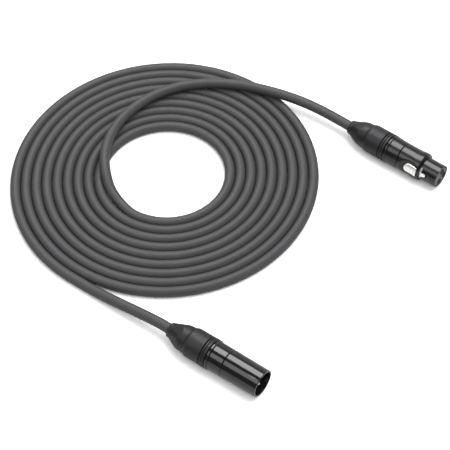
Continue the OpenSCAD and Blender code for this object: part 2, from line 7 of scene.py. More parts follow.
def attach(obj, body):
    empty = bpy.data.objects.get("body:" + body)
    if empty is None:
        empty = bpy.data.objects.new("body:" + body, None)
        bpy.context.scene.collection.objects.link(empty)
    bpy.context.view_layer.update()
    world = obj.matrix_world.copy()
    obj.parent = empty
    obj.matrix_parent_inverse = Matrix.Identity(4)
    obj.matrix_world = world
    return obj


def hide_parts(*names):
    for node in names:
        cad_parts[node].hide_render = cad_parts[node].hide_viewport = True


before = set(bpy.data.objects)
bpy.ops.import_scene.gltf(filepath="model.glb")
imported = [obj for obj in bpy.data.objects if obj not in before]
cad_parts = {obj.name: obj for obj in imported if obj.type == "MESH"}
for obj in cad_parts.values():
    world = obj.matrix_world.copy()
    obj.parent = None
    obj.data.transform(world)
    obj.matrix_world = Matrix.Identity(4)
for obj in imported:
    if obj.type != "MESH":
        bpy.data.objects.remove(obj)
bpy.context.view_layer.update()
mm = 0.001


# ---------------------------------------------------------------- camera
# A long lens about a metre away looks down on the coil from beyond the two connectors.
# Its place is counted from the middle of the coil; it turns, dips and rolls by three angles.
coil_middle = np.array([-25.5, 0.8, 0]) * mm
camera_from_coil = np.array([421.312, -495.628, 773.103]) * mm
camera_turn, camera_dip, camera_roll = np.radians([37, 51.848, 1.867])
picture_side = 450
focal_length_px = 1478.35
sensor_side_mm = 36

level_right = np.array([np.cos(camera_turn), np.sin(camera_turn), 0])
level_ahead = np.array([-np.sin(camera_turn), np.cos(camera_turn), 0])
straight_up = np.array([0, 0, 1])
tilted_up = np.sin(camera_dip) * level_ahead + np.cos(camera_dip) * straight_up
camera_right = np.cos(camera_roll) * level_right - np.sin(camera_roll) * tilted_up
camera_up = np.sin(camera_roll) * level_right + np.cos(camera_roll) * tilted_up
camera_data = bpy.data.cameras.new("camera")
camera_data.sensor_width = sensor_side_mm
camera_data.lens = sensor_side_mm * focal_length_px / picture_side
camera_data.clip_start = 0.05
camera_data.clip_end = 50
camera = bpy.data.objects.new("camera", camera_data)
camera_axes = np.column_stack([camera_right, camera_up, np.cross(camera_right, camera_up)])
camera.matrix_world = (Matrix.Translation(coil_middle + camera_from_coil)
                       @ Matrix(camera_axes.tolist()).to_4x4())
bpy.context.scene.collection.objects.link(camera)
bpy.context.scene.camera = camera
bpy.context.scene.view_settings.view_transform = "Standard"


# ---------------------------------------------------------------- table and studio
# The cable lies on a white table in a dim studio, under two soft lamps.
# Two bright panels and the studio's dark walls show only as reflections in the pieces.
def node(tree, kind, inputs=(), **settings):
    """Adds a shader node; inputs maps sockets to plain values or to the outputs of other nodes."""
    made = tree.nodes.new("ShaderNode" + kind)
    for name, value in settings.items():
        setattr(made, name, value)
    for socket, value in dict(inputs).items():
        if isinstance(value, bpy.types.NodeSocket):
            tree.links.new(value, made.inputs[socket])
        else:
            made.inputs[socket].default_value = value
    return made


def blank_material(name):
    """A material with an output node and nothing else."""
    material = bpy.data.materials.new(name)
    material.use_nodes = True
    material.node_tree.nodes.clear()
    return material, material.node_tree, node(material.node_tree, "OutputMaterial")


def grey(value):
    """A grey colour."""
    return (value, value, value, 1)


def flat_panel(name, corners, material):
    """A four-sided panel through its corners."""
    mesh = bpy.data.meshes.new(name)
    mesh.from_pydata([tuple(c) for c in corners], [], [(0, 1, 2, 3)])
    mesh.materials.append(material)
    panel = bpy.data.objects.new(name, mesh)
    bpy.context.scene.collection.objects.link(panel)
    return panel


def seen_directly(tree):
    """1 for a ray from the camera, a reflection or a look through glass, and 0 for scattered light."""
    ray = node(tree, "LightPath")
    either = node(tree, "Math", {0: ray.outputs["Is Camera Ray"], 1: ray.outputs["Is Glossy Ray"]},
                  operation="MAXIMUM")
    return node(tree, "Math", {0: either.outputs[0], 1: ray.outputs["Is Transmission Ray"]},
                operation="MAXIMUM").outputs[0]


table_half = 6
table_white = 0.80
table_white_mirrored = 1.20
table_white_seen = 1.90
table_material, tree, table_output = blank_material("white_table")
scattering = node(tree, "BsdfDiffuse", {"Color": grey(table_white)})
mirrored = node(tree, "BsdfDiffuse", {"Color": grey(table_white_mirrored)})
seen = node(tree, "BsdfDiffuse", {"Color": grey(table_white_seen)})
table_mix = node(tree, "MixShader", {0: seen_directly(tree), 1: scattering.outputs[0],
                                     2: mirrored.outputs[0]})
seen_mix = node(tree, "MixShader", {0: node(tree, "LightPath").outputs["Is Camera Ray"],
                                    1: table_mix.outputs[0], 2: seen.outputs[0]})
tree.links.new(seen_mix.outputs[0], table_output.inputs["Surface"])
flat_panel("table", [(-table_half, -table_half, 0), (table_half, -table_half, 0),
                     (table_half, table_half, 0), (-table_half, table_half, 0)], table_material)

ambient_light, backdrop_light = 0.44, 1
world = bpy.data.worlds.new("studio")
world.use_nodes = True
tree = world.node_tree
tree.nodes.clear()
ambient = node(tree, "Background", {"Color": grey(1), "Strength": ambient_light})
backdrop = node(tree, "Background", {"Color": grey(1), "Strength": backdrop_light})
world_mix = node(tree, "MixShader", {0: seen_directly(tree), 1: ambient.outputs[0],
                                     2: backdrop.outputs[0]})
tree.links.new(world_mix.outputs[0], node(tree, "OutputWorld").inputs["Surface"])
bpy.context.scene.world = world


def only_reflected(panel):
    """Keeps a panel out of the picture and out of the light, so that it shows in reflections alone."""
    panel.visible_camera = False
    panel.visible_diffuse = False
    panel.visible_transmission = False
    panel.visible_shadow = False


def glow_material(name, strength):
    """A material that gives white light and nothing else."""
    material, tree, output = blank_material(name)
    glow = node(tree, "Emission", {"Color": grey(1), "Strength": strength})
    tree.links.new(glow.outputs[0], output.inputs["Surface"])
    return material


panel_distance, panel_run, panel_half_run = 1.3, -0.5, 0.55


def reflected_panel(name, tilt, half_tilt, strength):
    """A panel that faces the coil, turned by tilt from straight overhead towards +Y."""
    away = np.array([0, np.sin(tilt), np.cos(tilt)])
    across = np.array([0, np.cos(tilt), -np.sin(tilt)])
    middle = panel_distance * away + np.array([panel_run, 0, 0])
    side = panel_distance * np.tan(half_tilt) * across
    end = np.array([panel_half_run, 0, 0])
    corners = [middle - side - end, middle + side - end, middle + side + end, middle - side + end]
    only_reflected(flat_panel(name, corners, glow_material(name, strength)))


reflected_panel("bright_panel", np.radians(20), np.radians(20), 8.5)
reflected_panel("dim_panel", np.radians(-38), np.radians(15), 3.0)


def grid_faces(rows, columns, rows_close=False, columns_close=False):
    """Four-sided faces of a grid of points, numbered row by row; a way that closes joins its ends."""
    rows_in, columns_in = rows - (not rows_close), columns - (not columns_close)
    i, j = np.meshgrid(np.arange(rows_in), np.arange(columns_in), indexing="ij")
    below, beside = (i + 1) % rows, (j + 1) % columns
    corners = [i * columns + j, below * columns + j, below * columns + beside, i * columns + beside]
    return np.stack(corners, axis=-1).reshape(-1, 4)


wall_radius, wall_foot, wall_glow, backdrop_glow = 4.0, 0.02, 0.10, 0.85
backdrop_low, backdrop_high, backdrop_near = 0.38 * wall_radius, 0.70 * wall_radius, 0.4 * wall_radius
wall_columns, wall_rows = 48, 13
turn, rise = np.meshgrid(np.linspace(0, 2 * np.pi, wall_columns + 1)[:-1],
                         np.linspace(wall_foot, np.pi / 2, wall_rows), indexing="ij")
dome = np.stack([np.cos(turn) * np.cos(rise), np.sin(turn) * np.cos(rise), np.sin(rise)], axis=-1)
dome_mesh = bpy.data.meshes.new("studio_walls")
dome_mesh.from_pydata((wall_radius * dome).reshape(-1, 3).tolist(), [],
                      grid_faces(wall_columns, wall_rows, rows_close=True).tolist())
# The wall beyond the coil is a white backdrop that fades out upwards
wall_material = glow_material("studio_walls", wall_glow)
tree = wall_material.node_tree
on_wall = node(tree, "SeparateXYZ", {0: node(tree, "TexCoord").outputs["Object"]})
low_down = node(tree, "MapRange", {"Value": on_wall.outputs["Z"], "From Min": backdrop_low,
                                   "From Max": backdrop_high, "To Min": 1, "To Max": 0})
beyond = node(tree, "MapRange", {"Value": on_wall.outputs["Y"], "From Min": 0,
                                 "From Max": backdrop_near})
share = node(tree, "Math", {0: low_down.outputs[0], 1: beyond.outputs[0]}, operation="MULTIPLY")
glow_there = node(tree, "MapRange", {"Value": share.outputs[0], "To Min": wall_glow,
                                     "To Max": backdrop_glow})
tree.links.new(glow_there.outputs[0], tree.nodes["Emission"].inputs["Strength"])
dome_mesh.materials.append(wall_material)
studio_walls = bpy.data.objects.new("studio_walls", dome_mesh)
bpy.context.scene.collection.objects.link(studio_walls)
only_reflected(studio_walls)


def soft_lamp(name, place, side, light):
    """A square lamp that faces the coil and lights the table by the given part of full white."""
    distance = np.linalg.norm(place)
    data = bpy.data.lights.new(name, "AREA")
    data.shape = "SQUARE"
    data.size = side
    data.energy = light * (np.pi * distance) ** 2 * distance / place[2]
    lamp = bpy.data.objects.new(name, data)
    facing = Vector(place).to_track_quat("Z", "Y").to_matrix().to_4x4()
    lamp.matrix_world = Matrix.Translation(place) @ facing
    lamp.visible_glossy = False
    bpy.context.scene.collection.objects.link(lamp)


soft_lamp("key_lamp", np.array([0.25, 0.35, 1.5]), 1.0, 0.42)
soft_lamp("fill_lamp", np.array([0.7, -0.4, 1.3]), 1.1, 0.15)


# ---------------------------------------------------------------- cable
# Round cable, 7 mm thick, in a matt grey plastic jacket that is extruded over its screen.
# Nine turns lie side by side on the table; the inner end climbs over them to the female connector.
cable_d = 7 * mm
coil_turns, coil_r, coil_pitch = 9, 104.2 * mm, 7.1 * mm
points_per_turn = 24
inner_bend = np.radians(12)
end_run = cable_d
male_end = coil_middle + np.array([80.5, -103.45, 10.1]) * mm
female_end = coil_middle + np.array([82, 102.8, 10.1]) * mm
female_yaw = np.radians(-3)
# The run to the male connector: x, distance inside the outermost turn's line, height
male_route = np.array([[14, 0, 3.5], [22, 0, 3.9], [32, 0.1, 5],
                       [42, 0.2, 6.4], [52, 0.4, 7.8], [62, 0.6, 9.1]]) * mm
# The climb out of the coil: degrees past the inner end, distance inside its radius, height
female_climb = np.array([[33.5, 0.3, 5.6], [48, -0.7, 8.8], [63, -2.6, 10.7]])
# The run over the turns and round to the female connector, from the coil's middle
female_route = np.array([
    [-44, -11.4, 10.8], [-48.6, -1.5, 10.8], [-51.7, 9.5, 10.8], [-52.8, 21.5, 10.8],
    [-51.8, 33.5, 10.8], [-48.5, 46.5, 10.8], [-42.5, 59, 10.8], [-33.8, 70.6, 10.8],
    [-22.5, 80.4, 10.8], [-10, 88.2, 10.8], [4.3, 94.4, 10.8], [19.5, 98.8, 10.8],
    [35.5, 102, 10.8], [50, 103.4, 10.6], [63, 103.65, 10.3]]) * mm


def polar(radius, angle, height):
    """Points at a radius, an angle from +X and a height, round the middle of the coil."""
    height = np.broadcast_to(height, np.shape(angle))
    return coil_middle + np.stack([radius * np.cos(angle), radius * np.sin(angle), height], axis=-1)


def smooth_route(points, spacing):
    """A cubic spline through the points, walked in equal steps of its own length.

    Over a chord h between two points, with b running from 0 to 1 and a = 1 - b, the place is
    a P0 + b P1 + ((a^3 - a) B0 + (b^3 - b) B1) h^2 / 6. The bends B are 0 at both ends, and elsewhere
    h0 B0 + 2 (h0 + h1) B1 + h1 B2 = 6 (slope1 - slope0), so that the bend has no jumps.
    """
    chord = np.linalg.norm(np.diff(points, axis=0), axis=1)
    slope = np.diff(points, axis=0) / chord[:, None]
    system = np.eye(len(points))
    inner = np.arange(1, len(points) - 1)
    system[inner, inner - 1] = chord[:-1]
    system[inner, inner] = 2 * (chord[:-1] + chord[1:])
    system[inner, inner + 1] = chord[1:]
    pull = np.zeros_like(points)
    pull[inner] = 6 * np.diff(slope, axis=0)
    bend = np.linalg.solve(system, pull)
    start = np.concatenate([[0], np.cumsum(chord)])
    place = np.linspace(0, start[-1], 20 * len(points))
    k = np.clip(np.searchsorted(start, place, side="right") - 1, 0, len(chord) - 1)
    b = ((place - start[k]) / chord[k])[:, None]
    a = 1 - b
    curve = a * points[k] + b * points[k + 1]
    curve += ((a ** 3 - a) * bend[k] + (b ** 3 - b) * bend[k + 1]) * chord[k][:, None] ** 2 / 6
    walked = np.concatenate([[0], np.cumsum(np.linalg.norm(np.diff(curve, axis=0), axis=1))])
    even = np.linspace(0, walked[-1], int(round(walked[-1] / spacing)) + 1)
    return np.stack([np.interp(even, walked, curve[:, i]) for i in range(3)], axis=1), walked[-1]


turns = np.arange(coil_turns * points_per_turn + 1) / points_per_turn
turn_angle = -np.pi / 2 - 2 * np.pi * turns
coil = polar(coil_r - coil_pitch * turns, turn_angle, cable_d / 2)
inner_r = coil_r - coil_pitch * coil_turns
inner_way = np.array([-np.cos(inner_bend), np.sin(inner_bend), 0])
climb = polar(inner_r - female_climb[:, 1] * mm, turn_angle[-1] - np.radians(female_climb[:, 0]),
              female_climb[:, 2] * mm)
male_run = coil_middle + male_route - [0, coil_r, 0]
female_way = np.array([np.cos(female_yaw), np.sin(female_yaw), 0])
route_points = np.concatenate([
    [male_end, male_end - [end_run, 0, 0]], male_run[::-1], [coil[0] + [end_run, 0, 0]], coil,
    [coil[-1] + end_run * inner_way], climb, coil_middle + female_route,
    [female_end - end_run * female_way, female_end]])
ring_spacing = 1.75 * mm
cable_route, cable_length = smooth_route(route_points, ring_spacing)


def outward(points, faces):
    """The faces of a closed mesh, all turned round if they sum to a negative volume.

    The volume is the sum of P0 . (P1 x P2) / 6 over the triangles. Where the faces agree with each
    other, they then all point outwards. Faces that disagree still disagree afterwards.
    """
    faces = [list(face) for face in faces]
    triangles = np.array([[face[0], face[k], face[k + 1]]
                          for face in faces for k in range(1, len(face) - 1)])
    p0, p1, p2 = points[triangles].transpose(1, 0, 2)
    if np.einsum("ij,ij", p0, np.cross(p1, p2)) < 0:
        faces = [face[::-1] for face in faces]
    return faces


sharp_angle = np.radians(40)


def new_piece(name, points, faces, material):
    """A smooth-shaded mesh at the origin, its faces turned by outward, with its sharp edges kept."""
    points = np.reshape(points, (-1, 3))
    faces = outward(points, faces)
    mesh = bpy.data.meshes.new(name)
    mesh.from_pydata(points.tolist(), [], faces)
    mesh.polygons.foreach_set("use_smooth", np.ones(len(faces), dtype=bool))
    mesh.set_sharp_from_angle(angle=sharp_angle)
    mesh.materials.append(material)
    piece = bpy.data.objects.new(name, mesh)
    bpy.context.scene.collection.objects.link(piece)
    return piece


def finish(name, colour, roughness, grain, mottle=0.12, specular=0.5, metallic=0):
    """A coloured finish with fine grain: (grains per metre, depth in metres, share of roughness).

    A broad noise makes the colour a little uneven, as far as mottle, and the grain moves both the
    roughness and the surface.
    """
    material, tree, output = blank_material(name)
    shader = node(tree, "BsdfPrincipled", {"Roughness": roughness, "Metallic": metallic,
                                             "Specular IOR Level": specular})
    where = node(tree, "TexCoord").outputs["Object"]
    patches = node(tree, "TexNoise", {"Vector": where, "Scale": grain[0] / 25, "Detail": 3})
    dark, light = [(*[c * k for c in colour], 1) for k in (1 - mottle, 1 + mottle)]
    colours = node(tree, "Mix", {0: patches.outputs["Fac"], 6: dark, 7: light}, data_type="RGBA")
    tree.links.new(colours.outputs[2], shader.inputs["Base Color"])
    grains = node(tree, "TexNoise", {"Vector": where, "Scale": grain[0], "Detail": 4})
    rough = node(tree, "MapRange", {"Value": grains.outputs["Fac"], "From Min": 0.3, "From Max": 0.7,
                                    "To Min": roughness * (1 - grain[2]),
                                    "To Max": roughness * (1 + grain[2])})
    tree.links.new(rough.outputs[0], shader.inputs["Roughness"])
    bump = node(tree, "Bump", {"Height": grains.outputs["Fac"], "Strength": 1, "Distance": grain[1]})
    tree.links.new(bump.outputs[0], shader.inputs["Normal"])
    tree.links.new(shader.outputs[0], output.inputs["Surface"])
    return material


tube_sides = 24


def tube_rings(path, radius, sides):
    """Rings round a path: P + r (cos v A + sin v H), with A level across the way and H up from both."""
    way = np.gradient(path, axis=0)
    across = np.cross(way, straight_up)
    across /= np.linalg.norm(across, axis=1)[:, None]
    high = np.cross(across, way)
    high /= np.linalg.norm(high, axis=1)[:, None]
    v = np.arange(sides) * 2 * np.pi / sides
    cos, sin = np.cos(v)[:, None], np.sin(v)[:, None]
    return path[:, None] + radius * (cos * across[:, None] + sin * high[:, None])


jacket = finish("cable_jacket", (0.075, 0.075, 0.078), 0.6, (2600, 0.00004, 0.12),
                specular=0.35)
rings = tube_rings(cable_route, cable_d / 2, tube_sides)
side_faces = grid_faces(len(rings), tube_sides, columns_close=True)
points_in_all = len(rings) * tube_sides
# Known fault: the two end faces run against the sides and point into the cable
end_faces = [list(range(tube_sides))[::-1], list(range(points_in_all - tube_sides, points_in_all))]
cable = new_piece("cable", rings, side_faces.tolist() + end_faces, jacket)
# The layout of its finish runs along the cable and once round it, in metres
along_of_point = np.repeat(np.linspace(0, cable_length, len(rings)), tube_sides)
corner_points = np.zeros(len(cable.data.loops), dtype=int)
cable.data.loops.foreach_get("vertex_index", corner_points)
corner_around = (corner_points % tube_sides) / tube_sides
face_of_corner = np.repeat(np.arange(len(cable.data.polygons)),
                           [len(face.vertices) for face in cable.data.polygons])
widest = np.zeros(len(cable.data.polygons))
np.maximum.at(widest, face_of_corner, corner_around)
corner_around += (widest[face_of_corner] > 0.9) & (corner_around < 0.1)
layout = cable.data.uv_layers.new(name="along_cable")
along_and_around = np.stack([along_of_point[corner_points], corner_around * np.pi * cable_d], 1)
layout.data.foreach_set("uv", along_and_around.ravel())
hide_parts("cable_coil", "male_tail", "female_tail")
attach(cable, "lead")


# ---------------------------------------------------------------- boots
# A soft rubber boot on the back of each connector guards the cable against kinks.
# It is moulded with six finger flats that run out on its round part, and is pushed on the gland nut.
def turn_z(angle):
    """The turn about Z by an angle."""
    return np.array([[np.cos(angle), -np.sin(angle), 0], [np.sin(angle), np.cos(angle), 0], [0, 0, 1]])


lie_down = np.array([[0, 0, 1], [0, 1, 0], [-1, 0, 0]])
keyway_turn, latch_turn = np.radians([100, 160])
quarter_turn = np.pi / 2
connectors = {
    "male": (lie_down @ turn_z(keyway_turn + quarter_turn), male_end),
    "female": (turn_z(female_yaw) @ lie_down @ turn_z(latch_turn + quarter_turn), female_end)}


def laid(points, side):
    """Lays points of a connector down: in mm, along +Z from its cable end, with its key towards +X."""
    turned_over, end = connectors[side]
    return np.asarray(points) @ turned_over.T * mm + end


def rounded(corners, radii, steps=5, flat=0.12, closed=True):
    """An outline whose corners are arcs; an open one keeps its two end points.

    An arc of radius q touches both sides of a corner at q / tan(h) from it, where h is half the corner's
    angle. Its points are C + (U sin((1 - t) w) + W sin(t w)) / sin w, with U and W from the centre C to the
    two ends and w the angle between them. A further point on each side keeps that side's shading flat.
    """
    corners = np.asarray(corners, dtype=float)
    radii = np.broadcast_to(np.asarray(radii, dtype=float), len(corners))[:, None]
    back = np.roll(corners, 1, axis=0) - corners
    ahead = np.roll(corners, -1, axis=0) - corners
    back_len, ahead_len = [np.linalg.norm(v, axis=1)[:, None] for v in (back, ahead)]
    back, ahead = back / back_len, ahead / ahead_len
    half = np.arccos(np.clip((back * ahead).sum(1), -0.9999, 0.9999))[:, None] / 2
    reach = np.minimum(radii / np.tan(half), 0.45 * np.minimum(back_len, ahead_len))
    q = reach * np.tan(half)
    inward = (back + ahead) / np.maximum(np.linalg.norm(back + ahead, axis=1)[:, None], 1e-9)
    centre = corners + inward * q / np.sin(half)
    w = np.pi - 2 * half
    t = np.linspace(0, 1, steps)[:, None, None]
    u_arm, w_arm = corners + back * reach - centre, corners + ahead * reach - centre
    arc = centre + (u_arm * np.sin((1 - t) * w) + w_arm * np.sin(t * w)) / np.sin(w)
    before = corners + back * np.minimum(reach + flat, 0.5 * back_len)
    after = corners + ahead * np.minimum(reach + flat, 0.5 * ahead_len)
    line = np.concatenate([before[None], arc, after[None]]).transpose(1, 0, 2)
    if not closed:
        line = np.concatenate([corners[:1], line[1:-1].reshape(-1, 2), corners[-1:]])
    line = line.reshape(-1, 2)
    apart = np.linalg.norm(line - np.roll(line, 1, axis=0), axis=1) > 1e-4
    return line[apart]


def filled_in(line, gap):
    """A closed outline with further points on it, a gap apart, where its own points are not close by."""
    ring = np.concatenate([line, line[:1]])
    own = np.concatenate([[0], np.cumsum(np.linalg.norm(np.diff(ring, axis=0), axis=1))])
    more = np.arange(gap, own[-1], gap)
    more = more[np.abs(more[:, None] - own).min(1) > 0.4 * gap]
    place = np.sort(np.concatenate([own[:-1], more]))
    return np.stack([np.interp(place, own, ring[:, 0]), np.interp(place, own, ring[:, 1])], axis=1)


def turned(outline, around=96):
    """A surface of revolution: each point (r, z) of the outline goes round Z as (r cos a, r sin a, z)."""
    a = np.arange(around) * 2 * np.pi / around
    r, z = outline[:, 0, None], outline[:, 1, None]
    return np.stack([r * np.cos(a), r * np.sin(a), np.broadcast_to(z, (len(outline), around))], axis=-1)


def fit(piece, slot, body, *node_names):
    """Puts a piece in the place of its nodes, which it hides, and on its body; slot is not used."""
    if node_names:
        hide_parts(*node_names)
    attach(piece, body)
    return piece


def ring_piece(name, side, points, material, slot, node_name):
    """A piece with a bore, laid in its connector: its rows of points close round and through it."""
    faces = grid_faces(*points.shape[:2], rows_close=True, columns_close=True)
    return fit(new_piece(name, laid(points, side), faces, material), slot, "lead", node_name)


def smooth_least(a, b, blend):
    """The lesser of two surfaces, with their crossing rounded over a blend length."""
    share = np.clip(0.5 + 0.5 * (b - a) / blend, 0, 1)
    return b + (a - b) * share - blend * share * (1 - share)


boot_len, boot_taper = 15.5, (2.4, 9.3)
boot_tip_r, boot_neck_r, boot_shoulder_r, boot_r = 5.05, 5.4, 8.55, 9.1
boot_bore, boot_socket_r, boot_socket_z = 3.7, 6.6, 9.4
boot_flats, flat_at_tip, flat_slope, flat_blend = 6, 4.55, 0.37, 0.12
boot_around, boot_skin = 180, 0.3
boot_rubber = finish("boot_rubber", (0.012, 0.012, 0.013), 0.48, (3200, 0.00003, 0.15),
                     specular=0.35)
boot_outline = filled_in(rounded(
    [[boot_bore, 0], [boot_tip_r, 0], [boot_neck_r, boot_taper[0]], [boot_shoulder_r, boot_taper[1]],
     [boot_r, boot_len], [boot_socket_r, boot_len],
     [boot_socket_r, boot_socket_z], [boot_bore, boot_socket_z]],
    [0.2, 0.5, 2.0, 0.5, 0.3, 0.1, 0.1, 0.1], steps=7), 0.4)
boot_grid = turned(boot_outline, boot_around)
boot_r_here = np.hypot(boot_grid[..., 0], boot_grid[..., 1])
boot_angle = np.arctan2(boot_grid[..., 1], boot_grid[..., 0])
off_flat = (boot_angle + np.pi / boot_flats) % (2 * np.pi / boot_flats) - np.pi / boot_flats
flat_r = (flat_at_tip + flat_slope * boot_grid[..., 2]) / np.cos(off_flat)
hollow_r = np.where(boot_grid[..., 2] > boot_socket_z - boot_skin, boot_socket_r, boot_bore)
boot_r_flat = np.minimum(boot_r_here, smooth_least(boot_r_here, flat_r, flat_blend))
boot_r_cut = np.where(boot_r_here > hollow_r + boot_skin, boot_r_flat, boot_r_here)
boot_grid[..., :2] *= (boot_r_cut / boot_r_here)[..., None]
boots = {side: ring_piece(side + "_rubber_boot", side, boot_grid, boot_rubber, "cable_boot", side + "_boot")
         for side in connectors}


# ---------------------------------------------------------------- gland nuts and coding rings
# The gland nut is turned by hand and closes a chuck on the cable; its sleeve screws into the shell.
# A loose plastic ring sits in the gap between nut and shell. Both are moulded in satin black plastic.
z_nut, z_ring, z_shell, z_sleeve_end = 15.5, 28.5, 32.5, 41
nut_r, nut_rear_r, nut_rear_len, ring_r = 10, 9.25, 1.9, 10.1
spigot_r, spigot_z, sleeve_r, nut_bore, nut_gap = 6.5, 9.5, 7.5, 6.2, 3.9
cone_rear, cone_front, cone_rear_r, ring_bore = 19, 31, 4.8, sleeve_r + 0.1
# Chamfers and the ring's own groove, each (along the axis, deep)
chamfer, ring_groove, ring_groove_z = (0.5, 0.9), (0.35, 0.5), 30.2
nut_plastic = finish("nut_plastic", (0.015, 0.015, 0.0175), 0.5, (4200, 0.00002, 0.12), specular=0.36)
ring_plastic = finish("ring_plastic", (0.014, 0.014, 0.0155), 0.46, (4200, 0.00002, 0.12), specular=0.34)
nut_outline = rounded(
    [[nut_gap, spigot_z], [spigot_r, spigot_z], [spigot_r, z_nut], [nut_rear_r, z_nut],
     [nut_r, z_nut + nut_rear_len], [nut_r, z_ring - chamfer[0]], [nut_r - chamfer[1], z_ring],
     [sleeve_r, z_ring], [sleeve_r, z_sleeve_end],
     [nut_bore, z_sleeve_end], [nut_bore, cone_front], [cone_rear_r, cone_rear], [nut_gap, cone_rear - 1]],
    [0.1, 0.2, 0.05, 0.2, 0.6, 0.2, 0.1, 0.05, 0.3, 0.1, 0.3, 0.3, 0.1])
ring_outline = rounded(
    [[ring_bore, z_ring], [ring_r - chamfer[1], z_ring], [ring_r, z_ring + chamfer[0]],
     [ring_r, ring_groove_z - ring_groove[0]], [ring_r - ring_groove[1], ring_groove_z],
     [ring_r, ring_groove_z + ring_groove[0]],
     [ring_r, z_shell - chamfer[0]], [ring_r - chamfer[1], z_shell], [ring_bore, z_shell]],
    [0.1, 0.1, 0.2, 0.1, 0.05, 0.1, 0.2, 0.1, 0.1])
nuts = {side: ring_piece(side + "_nut", side, turned(nut_outline), nut_plastic, "gland_nut",
                         side + "_gland_nut")
        for side in connectors}
rings_on = {side: ring_piece(side + "_ring", side, turned(ring_outline), ring_plastic, "coding_ring",
                             side + "_coding_ring")
            for side in connectors}


# ---------------------------------------------------------------- male shell
# Die-cast and turned metal tube in gloss black, with a collar, a thin groove round it and a bevelled mouth.
# Inside the mouth are a keyway and, further in, a catch that the hook of a latch drops into.
collar_r, collar_front, collar_foot, z_body, thread_r = 10.1, 34.1, 34.5, 34.8, 7.65
male_r, mouth_r, male_front = 9.6, 9.2, 70
male_groove_r, male_groove_z, groove_half, groove_depth = 9.5, 44.3, 0.5, 0.65
cavity_r, z_floor, lip_r, lip_back = 8.1, 54.5, 6.75, 53.3
keyway_half, keyway_x, keyway_back, catch_x, catch_z = 2.5, 8.75, 56, 9.0, (62.0, 67.2)
step = 0.01
gloss_black = finish("gloss_black", (0.012, 0.012, 0.0125), 0.13, (5200, 0.0000015, 0.12), mottle=0.06)


def ring_grid(radius, near_y, further):
    """Rings round Z, with a row of radii for each ring.

    The points beside +X keep their places y, at x = sqrt(r^2 - y^2), and the further ones part the
    rest of the ring into even steps of angle.
    """
    near_r, far_r = radius[:, :near_y.shape[-1]], radius[:, near_y.shape[-1]:]
    near_angle = np.arcsin(near_y / near_r)
    edge = near_angle[:, -1:]
    far_angle = edge + (2 * np.pi - 2 * edge) * np.arange(1, further + 1) / (further + 1)
    x = np.concatenate([near_r * np.cos(near_angle), far_r * np.cos(far_angle)], axis=1)
    y = np.concatenate([near_r * np.sin(near_angle), far_r * np.sin(far_angle)], axis=1)
    return x, y


# The columns beside the keyway keep their place y, so that its walls are straight
male_near_y = np.array([0, 0.8, 1.6, 2.2, keyway_half, keyway_half + 2 * step,
                        2.9, 3.4, 4, 4.8, 5.6, 6.4])
male_near_y = np.concatenate([-male_near_y[:0:-1], male_near_y])
male_outline = filled_in(rounded(
    [[thread_r, z_shell], [collar_r - chamfer[1], z_shell], [collar_r, z_shell + chamfer[0]],
     [collar_r, collar_front], [male_r - 0.25, collar_foot], [male_r, z_body],
     [male_groove_r, male_groove_z - groove_half], [male_groove_r - groove_depth, male_groove_z],
     [male_groove_r - step, male_groove_z + groove_half],
     [mouth_r, male_front], [cavity_r, male_front],
     [cavity_r, catch_z[1] + step], [cavity_r, catch_z[1] - step],
     [cavity_r, catch_z[0] + step], [cavity_r, catch_z[0] - step],
     [cavity_r, keyway_back + step], [cavity_r, keyway_back - step],
     [cavity_r, z_floor], [lip_r, z_floor], [lip_r, lip_back], [thread_r, lip_back]],
    [0.1, 0.1, 0.2, 0.15, 0.05, 0.1, 0.08, 0.12, 0.08, 0.3, 0.15,
     0, 0, 0, 0, 0, 0, 0.1, 0.1, 0.1, 0.1]), 1.5)
far_columns = 84
male_radius = np.repeat(male_outline[:, :1], len(male_near_y) + far_columns, axis=1)
male_x, male_y = ring_grid(male_radius, male_near_y, far_columns)
male_z = np.repeat(male_outline[:, 1:], male_x.shape[1], axis=1)
in_keyway = ((male_radius < keyway_x) & (male_z > keyway_back)
             & (np.abs(male_y) < keyway_half + step) & (male_x > 0))
in_catch = in_keyway & (male_z > catch_z[0]) & (male_z < catch_z[1])
male_x = np.where(in_keyway, keyway_x, male_x)
male_x = np.where(in_catch, catch_x, male_x)
ring_piece("male_metal_shell", "male", np.stack([male_x, male_y, male_z], -1), gloss_black,
           "connector_shell", "male_shell")


# ---------------------------------------------------------------- female shell
# Die-cast metal body with a satin black coat: a waist, a crest behind its shoulder and a thin-walled nose.
# A scooped window holds the push tab, and a slot in the nose lets the hook of the latch through.
waist_r, waist_rear_r, female_r, shoulder_drop = 9.5, 9.85, 9.95, 0.9
nose_r, nose_bore, nose_edge_r, nose_bevel = 7.9, 6.9, 7.45, 1.2
female_groove_z, z_seat, z_flare, z_shoulder, z_step, female_front = 43.5, 47.5, 52.6, 58.6, 61.2, 73.9
window_half, window_rear, window_front = 3.75, 49.7, 59.9
slot_half, slot_front, bar_slot_half, bar_slot_front = 1.6, 66.7, 4.35, 63.0
scoop_r, scoop_floor, scoop_z, scoop_half, scoop_blend = 14, 7.8, 52.9, 8, 0.3
# The pocket behind the window for the lever, and a deeper one round its hinge: (front, depth)
pocket_half, pocket_rear, lever_pocket, hinge_pocket = 3.5, 45.6, (51.6, 7.3), (48.75, 8.05)
